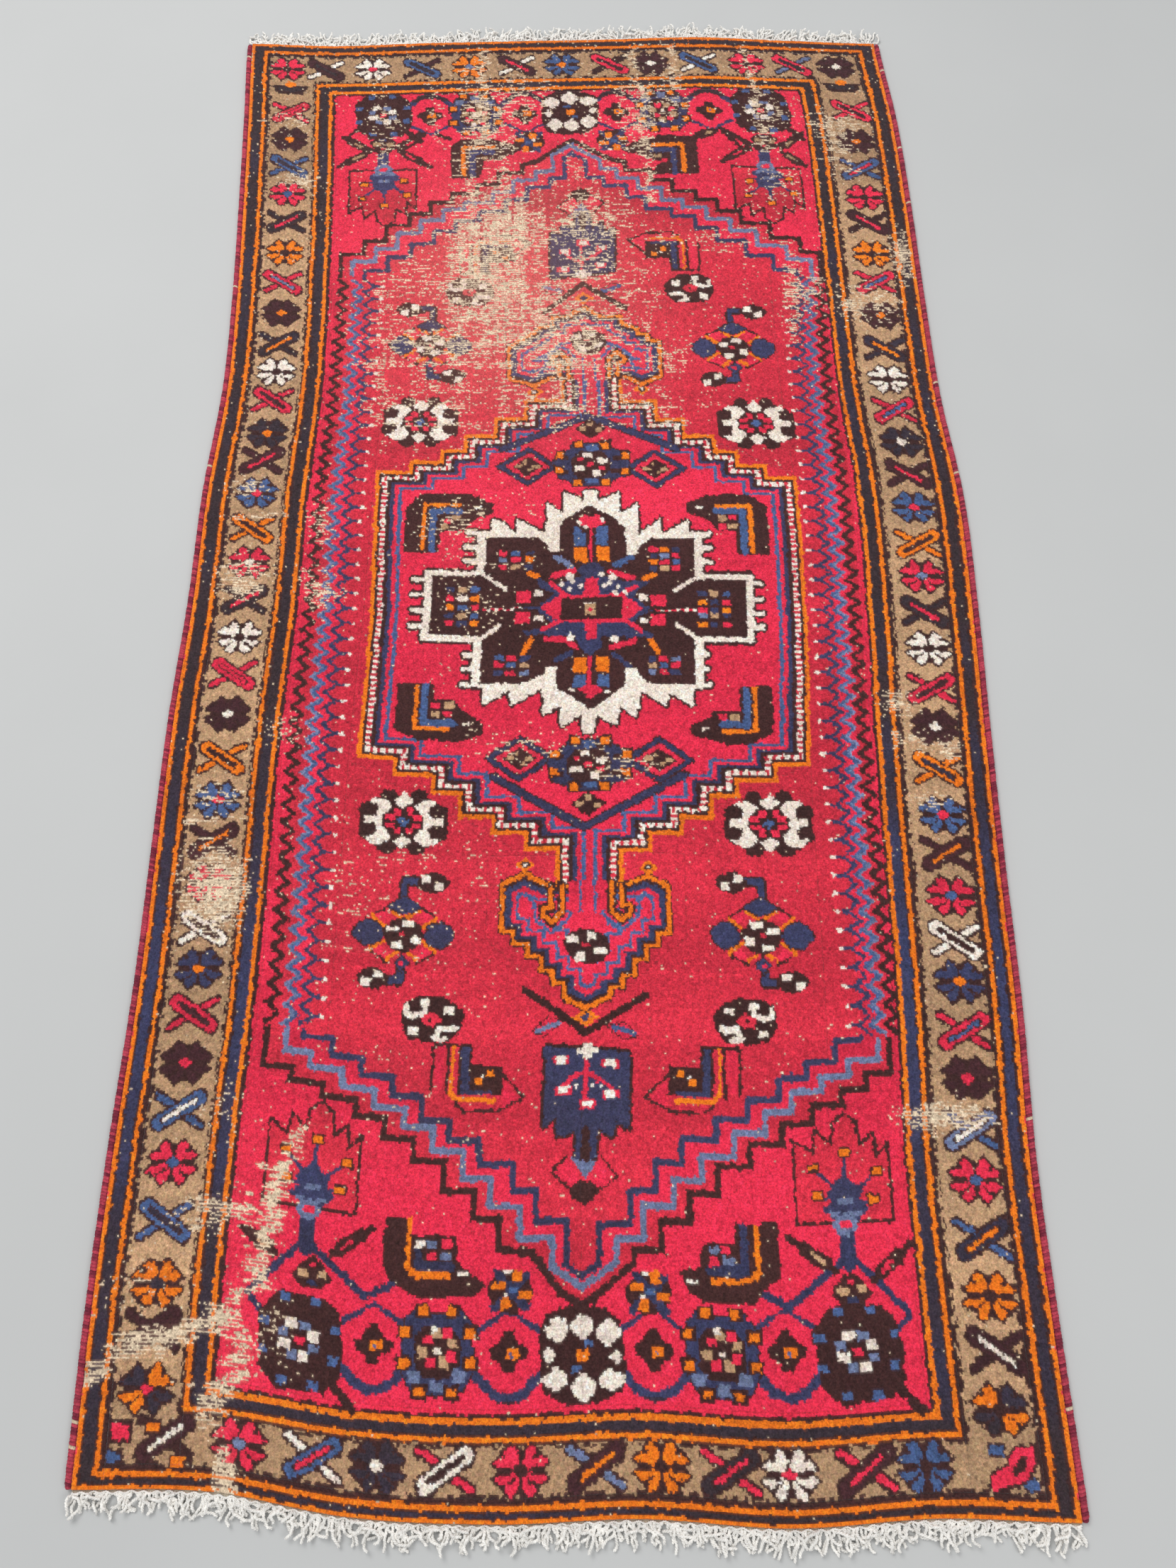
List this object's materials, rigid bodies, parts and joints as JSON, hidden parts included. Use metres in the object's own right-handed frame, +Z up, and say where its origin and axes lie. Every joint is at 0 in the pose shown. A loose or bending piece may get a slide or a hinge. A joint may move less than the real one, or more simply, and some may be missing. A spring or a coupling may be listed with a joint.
{
  "type": "runner rug",
  "caption": "Hand-knotted wool runner rug with a medallion field, striped and flowered borders, wrapped sides and short cotton fringes.",
  "frame": {"origin": "middle of the rug's underside, where it lies on the floor", "axes": "+X across the rug to its right side, +Y along it to its far end, +Z up out of the pile"},
  "size_m": [1.0736, 2.1762, 0.008],
  "materials": {
    "guard_wool": "knotted wool pile, orange and navy stripes, matt",
    "border_wool": "knotted wool pile, undyed camel ground with small coloured figures, matt",
    "corner_field_wool": "knotted wool pile, crimson ground, slightly lustrous",
    "inner_field_wool": "knotted wool pile, faded rose red ground, worn low, matt",
    "figure_wool": "knotted wool pile, blue, navy and orange stepped lines, matt",
    "medallion_wool": "knotted wool pile, crimson ground with a dark flower, slightly lustrous",
    "side_cord_wool": "magenta wool wound over the side warps, matt",
    "foundation_cotton": "undyed cotton plain weave with the knots' backs showing below, matt",
    "fringe_cotton": "twisted undyed cotton warp ends, matt"
  },
  "bodies": {
    "root": {"corner_field_far_left": "corner_field_wool", "corner_field_far_right": "corner_field_wool", "corner_field_near_left": "corner_field_wool", "corner_field_near_right": "corner_field_wool", "foundation": "foundation_cotton", "fringe_far": "fringe_cotton", "fringe_near": "fringe_cotton", "inner_field_far_left": "inner_field_wool", "inner_field_far_right": "inner_field_wool", "inner_field_near_left": "inner_field_wool", "inner_field_near_right": "inner_field_wool", "inner_guard_far": "guard_wool", "inner_guard_left": "guard_wool", "inner_guard_near": "guard_wool", "inner_guard_right": "guard_wool", "main_border_far": "border_wool", "main_border_left": "border_wool", "main_border_near": "border_wool", "main_border_right": "border_wool", "medallion": "medallion_wool", "outer_guard_far": "guard_wool", "outer_guard_left": "guard_wool", "outer_guard_near": "guard_wool", "outer_guard_right": "guard_wool", "pendant_far": "figure_wool", "pendant_near": "figure_wool", "side_cord_left": "side_cord_wool", "side_cord_right": "side_cord_wool", "zigzag_band_left": "figure_wool", "zigzag_band_right": "figure_wool"}
  },
  "joints": []
}
